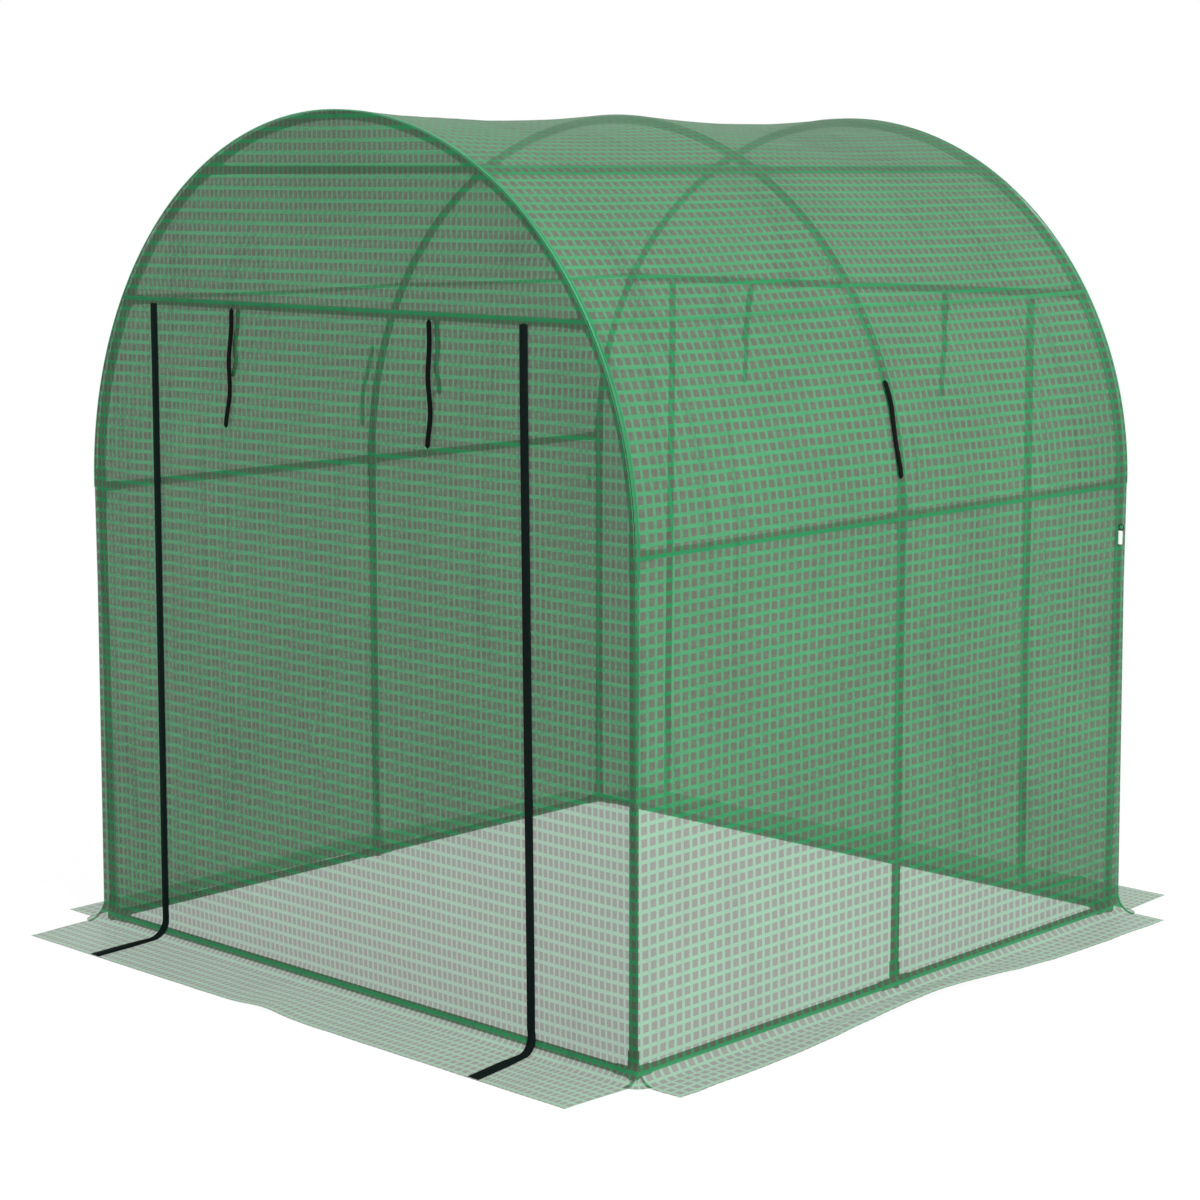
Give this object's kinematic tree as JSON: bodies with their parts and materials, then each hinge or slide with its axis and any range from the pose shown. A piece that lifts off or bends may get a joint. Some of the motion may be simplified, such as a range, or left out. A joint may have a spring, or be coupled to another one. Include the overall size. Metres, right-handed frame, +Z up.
{
  "type": "polytunnel greenhouse",
  "caption": "Walk-in polytunnel greenhouse with a hooped steel tube frame, a reinforced film cover, zipped roll-up doors at both ends and ground skirts.",
  "frame": {"origin": "centre of the footprint, at ground level", "axes": "+Z up, +Y from the front door towards the rear door, +X to the right seen from the front"},
  "size_m": [2.0876, 2.2476, 2.0001],
  "materials": {
    "frame_tube": "satin",
    "connector_steel": "satin",
    "cover_film": "woven",
    "zip_tape": "woven",
    "tie_webbing": "woven",
    "toggle_plastic": "gloss"
  },
  "bodies": {
    "root": {"corner_connectors": "connector_steel", "front_door": "cover_film", "front_ground_rail": "frame_tube", "front_header_rail": "frame_tube", "front_hoop": "frame_tube", "front_left_leg": "frame_tube", "front_panel": "cover_film", "front_right_leg": "frame_tube", "front_ties": "tie_webbing", "front_zips": "zip_tape", "ground_tees": "connector_steel", "header_clips": "connector_steel", "left_front_ground_rail": "frame_tube", "left_front_purlin": "frame_tube", "left_front_side_rail": "frame_tube", "left_rear_ground_rail": "frame_tube", "left_rear_purlin": "frame_tube", "left_rear_side_rail": "frame_tube", "left_side_cover": "cover_film", "middle_hoop": "frame_tube", "middle_left_leg": "frame_tube", "middle_right_leg": "frame_tube", "purlin_connectors": "connector_steel", "rear_door": "cover_film", "rear_ground_rail": "frame_tube", "rear_header_rail": "frame_tube", "rear_hoop": "frame_tube", "rear_left_leg": "frame_tube", "rear_panel": "cover_film", "rear_right_leg": "frame_tube", "rear_ties": "tie_webbing", "rear_zips": "zip_tape", "right_front_ground_rail": "frame_tube", "right_front_purlin": "frame_tube", "right_front_side_rail": "frame_tube", "right_rear_ground_rail": "frame_tube", "right_rear_purlin": "frame_tube", "right_rear_side_rail": "frame_tube", "right_side_cover": "cover_film", "roof_cover": "cover_film", "side_rail_connectors": "connector_steel", "side_ties": "tie_webbing", "toggle_loops": "tie_webbing", "toggles": "toggle_plastic"}
  },
  "joints": []
}
